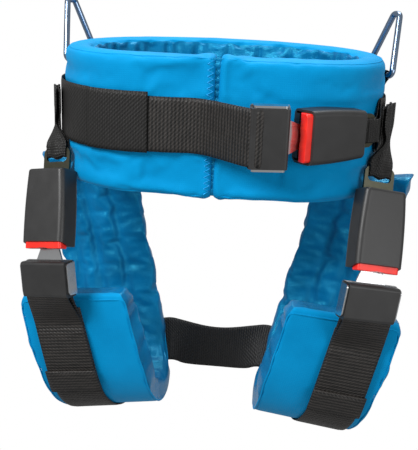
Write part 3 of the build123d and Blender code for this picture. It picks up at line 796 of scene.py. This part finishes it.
def build_waist_straps():
    """The strap round the belt, the adjusting strap on the waist tongue, the buckle's loop and the sleeve."""
    total = 2 * BELT_RUN / MM
    runs = [run if run <= total / 2 else run - total for run in np.linspace(total - 75, 195, 60)]
    settle(ribbon("waist_webbing", belt_frames(runs, GAP + WEB_THICK / 2)), "root", ["waist_strap"])
    low = belt_frames([-118, -106, -94, -82, -68, -40, -10], LAYER + GAP + WEB_THICK / 2)
    tail = belt_frames([-10, -40, -58], 2 * LAYER + GAP + WEB_THICK / 2)
    front = ribbon("front_webbing", low + bar_turn(WAIST, WAIST_BEND, WEB_HALF) + turned(tail))
    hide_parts("waist_front_strap")
    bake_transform(front)
    outer = [(218, 206, 194, 182, 172, 162), (192, 182, 172, 162)]
    over = belt_frames(outer[0], LAYER + GAP + WEB_THICK / 2)
    under = turned(belt_frames(outer[1], GAP + WEB_THICK / 2))
    loop = ribbon("waist_loop_webbing", over + slot_turn(WAIST, WAIST_BUCKLE, 11 * MM, 14) + under[::-1],
                  "plain_webbing")
    settle(loop, "root", ["waist_buckle_loop"])
    raised = STRAP_Z + 1.5 * MM
    near = belt_frames(np.linspace(-57, -112, 9), 3 * LAYER + GAP, raised, SLEEVE_HALF)
    settle(ribbon("strap_sleeve", near, "plain_webbing"), "root", [])
    far = belt_frames(np.linspace(-111, -196, 14), 2 * LAYER + GAP + 0.4 * MM, raised, SLEEVE_HALF)
    settle(ribbon("strap_sleeve_end", far, "plain_webbing"), "root", [])


def build_leg_straps():
    """Load straps, hang loops, hems and the adjusting straps on the leg tongues."""
    made = []
    frames = []
    for z in (STRAP_Z + 10 * MM, STRAP_Z - 34 * MM, BELT_BOTTOM + 14 * MM):
        point, way, normal = on_belt(284 * MM, LAYER + 1.4 * MM, z)
        frames.append((point, way * -WEB_HALF, normal))
    made.append(("leg_webbing", frames + leg_web(LEG_STEPS[:-1], WEB_THICK / 2), "leg_strap", "webbing"))
    front, back = [], []
    for z, half in ((19, 17.6), (0, 17.6), (-15, 12.1)):
        point, way, normal = on_belt(170 * MM, 3 * LAYER + 4.4 * MM, STRAP_Z + z * MM)
        front.append((point, way * -half * MM, normal))
        point, way, normal = on_belt(170 * MM, 2 * LAYER + 4.0 * MM, STRAP_Z + z * MM)
        back.append((point, way * -half * MM, -normal))
    turn = slot_turn(LEG, LEG_BUCKLE, 11 * MM, 15)
    made.append(("hang_webbing", front + turn + back[::-1], "hang_loop", "plain_webbing"))
    for name, frames, node, material in made:
        folds = (lambda run, w: 1.1 * MM * math.cos(w / MM * 0.42)) if node == "hang_loop" else None
        piece = ribbon("right_" + name, frames, material, wobble=folds)
        twin = mirrored(piece, "left_" + name)
        settle(piece, "root", ["right_" + node])
        settle(twin, "root", ["left_" + node])
    across = leg_web((0.775, 0.80, 0.825), 3 * LAYER + 0.6 * MM, 25.5 * MM)
    hem = ribbon("right_hem", across, "webbing", 3.2 * MM)
    for obj in (hem, mirrored(hem, "left_hem")):
        settle(obj, "root", [])
    low = leg_web(LEG_STEPS[30:35], LAYER + WEB_THICK / 2)
    tail = leg_web(LEG_STEPS[34:28:-1], 2 * LAYER + WEB_THICK / 2)
    piece = ribbon("right_tongue_webbing", low + bar_turn(LEG, LEG_BEND, -WEB_HALF) + turned(tail))
    twin = mirrored(piece, "left_tongue_webbing")
    for side, obj, sign in (("right", piece, 1), ("left", twin, -1)):
        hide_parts(side + "_tongue_strap")
        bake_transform(obj)


def build_cross_strap():
    """The strap that joins the cradles behind the wearer, sagging a little at the middle."""
    frames = []
    for inward in (20, 40, 56):
        centre, width, normal = leg_frame(0.47)
        point = centre - width * inward * MM + normal * (PAD_THICK / 2 + LAYER + GAP + WEB_THICK / 2)
        frames.append((point, leg_way(0.47) * WEB_HALF, normal))
    edge, across, normal = frames[-1]
    for share in (0.75, 0.5, 0.25, 0.0):
        way = unit(across * share ** 2 - UP * WEB_HALF * (1 - share ** 2)) * WEB_HALF
        out = normal * share ** 2 + vec(0, 1, 0) * (1 - share ** 2)
        drop = 1 - share ** 2
        frames.append((vec(edge[0] * share, edge[1] + 4 * MM * drop, edge[2] - 8 * MM * drop), way, out))
    flip = vec(-1, 1, 1)
    frames += [(c * flip, a * flip, n * flip) for c, a, n in frames[-2::-1]]
    strap = ribbon("cross_webbing", frames, "plain_webbing")
    settle(strap, "root", ["cross_strap"])


# ---------------------------------------------------------------- lifting rings' tabs
def build_ring_tabs():
    """Webbing tabs from the waist strap over the foot of each lifting ring."""
    foot, along, normal = on_belt(238 * MM, 10 * MM, 355 * MM)
    along = unit(along)
    half = along * 15 * MM
    radius = (3 + 0.4 + 0.75) * MM
    layers = {}
    for name, out in (("outer", 2 * LAYER + 2.6 * MM), ("inner", LAYER + 1.4 * MM)):
        layers[name] = [on_belt(238 * MM, out, STRAP_Z + z * MM)[0] for z in (-14, 22)]
    frames = [(p, half, normal) for p in layers["outer"]]
    for angle in np.radians(np.linspace(-25, 205, 9)):
        out = normal * math.cos(angle) + UP * math.sin(angle)
        frames.append((foot + out * radius, half, out))
    frames += [(p, half, -normal) for p in reversed(layers["inner"])]
    piece = ribbon("right_ring_webbing", frames, "plain_webbing")
    twin = mirrored(piece, "left_ring_webbing")
    settle(piece, "root", ["right_ring_tab"])
    settle(twin, "root", ["left_ring_tab"])


# ---------------------------------------------------------------- CAD nodes that stay
def finish_cad_nodes():
    """Materials for the hard parts, which keep their CAD shapes."""
    rules = (("_case", "plastic"), ("_cap", "plastic"), ("_button", "red"), ("_ejector", "acetal"),
             ("_frame_plate", "anchor"), ("_tongue_plate", "chrome"), ("_lock_bar", "chrome"),
             ("_lifting_ring", "ring"), ("_springs", "spring"), ("_latch", "spring"), ("_screws", "spring"))
    for name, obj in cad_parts.items():
        for ending, material in rules:
            if name.endswith(ending):
                obj.data.materials.clear()
                obj.data.materials.append(MATERIALS[material])


# ---------------------------------------------------------------- lights
def add_lights():
    """A white surround that the camera sees at full strength, and soft lights."""
    world = bpy.data.worlds.new("studio")
    world.use_nodes = True
    nodes, links = world.node_tree.nodes, world.node_tree.links
    nodes["Background"].inputs["Color"].default_value = (1, 1, 1, 1)
    nodes["Background"].inputs["Strength"].default_value = 0.42
    seen = nodes.new("ShaderNodeBackground")
    seen.inputs["Color"].default_value = (1, 1, 1, 1)
    path = nodes.new("ShaderNodeLightPath")
    mix = nodes.new("ShaderNodeMixShader")
    links.new(path.outputs["Is Camera Ray"], mix.inputs["Fac"])
    links.new(nodes["Background"].outputs["Background"], mix.inputs[1])
    links.new(seen.outputs["Background"], mix.inputs[2])
    links.new(mix.outputs["Shader"], nodes["World Output"].inputs["Surface"])
    scene = bpy.context.scene
    scene.world = world
    scene.view_settings.view_transform = "Standard"
    for name, place, size, power in (("key", (-0.7, -0.9, 1.1), 0.5, 20), ("fill", (1.0, -1.0, 0.5), 0.6, 6),
                                     ("top", (0.1, 0.4, 1.5), 0.8, 18)):
        data = bpy.data.lights.new(name, "AREA")
        data.size, data.energy = size, power
        light = bpy.data.objects.new(name, data)
        scene.collection.objects.link(light)
        light.location = place
        light.rotation_euler = (Vector((0, 0, 0.2)) - Vector(place)).to_track_quat("-Z", "Y").to_euler()


# ---------------------------------------------------------------- seams on the belt's front
def front_seam(pad):
    """Overcast stitches down the left panel's edge, and gathered satin in the gap."""
    tree = surface_of(pad)
    points = []
    for k in range(int(BELT_HEIGHT / (2.6 * MM))):
        z = SHIFT[2] + BELT_BOTTOM + 6 * MM + k * 2.6 * MM
        if z > SHIFT[2] + BELT_BOTTOM + BELT_HEIGHT - 5 * MM:
            break
        x = -2.0 * MM if k % 2 else -7.0 * MM
        hit, _, _, _ = tree.ray_cast(Vector((x, -0.3, z)), Vector((0, 1, 0)))
        if hit:
            points.append((hit.x, hit.y - 0.35 * MM, hit.z))
    stitches = thread("seam_stitches", points, 0.55 * MM, "thread")
    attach(stitches, "root")
    frames = []
    for k, z in enumerate(np.linspace(BELT_BOTTOM + 4 * MM, BELT_BOTTOM + BELT_HEIGHT - 3 * MM, 60)):
        depth = BELT_FRONT + 5 * MM + 1.1 * MM * math.sin(k * 2.1) + 0.8 * MM * pleat(k * 0.9, 5.0)
        normal = vec(0, -1, 0.25 * math.sin(k * 1.7))
        frames.append((vec(1.5 * MM, depth, z) + SHIFT, vec(1, 0, 0) * 6 * MM, normal))
    gusset = ribbon("seam_gusset", frames, "satin", thick=1 * MM)
    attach(gusset, "root")


add_camera()
belt = belt_pad()
front_seam(belt)
belt_piping(belt)
right_pad = leg_pad()
left_pad = mirrored(right_pad, "left_leg_pad")
for side, pad in (("right", right_pad), ("left", left_pad)):
    finish_pad(pad, [side + "_leg_" + layer for layer in ("cover", "foam", "lining")])
    piping(side + "_leg_piping", pad, leg_piping() * (1 if side == "right" else vec(-1, 1, 1)))
build_waist_straps()
build_leg_straps()
build_cross_strap()
build_ring_tabs()
finish_cad_nodes()
add_lights()
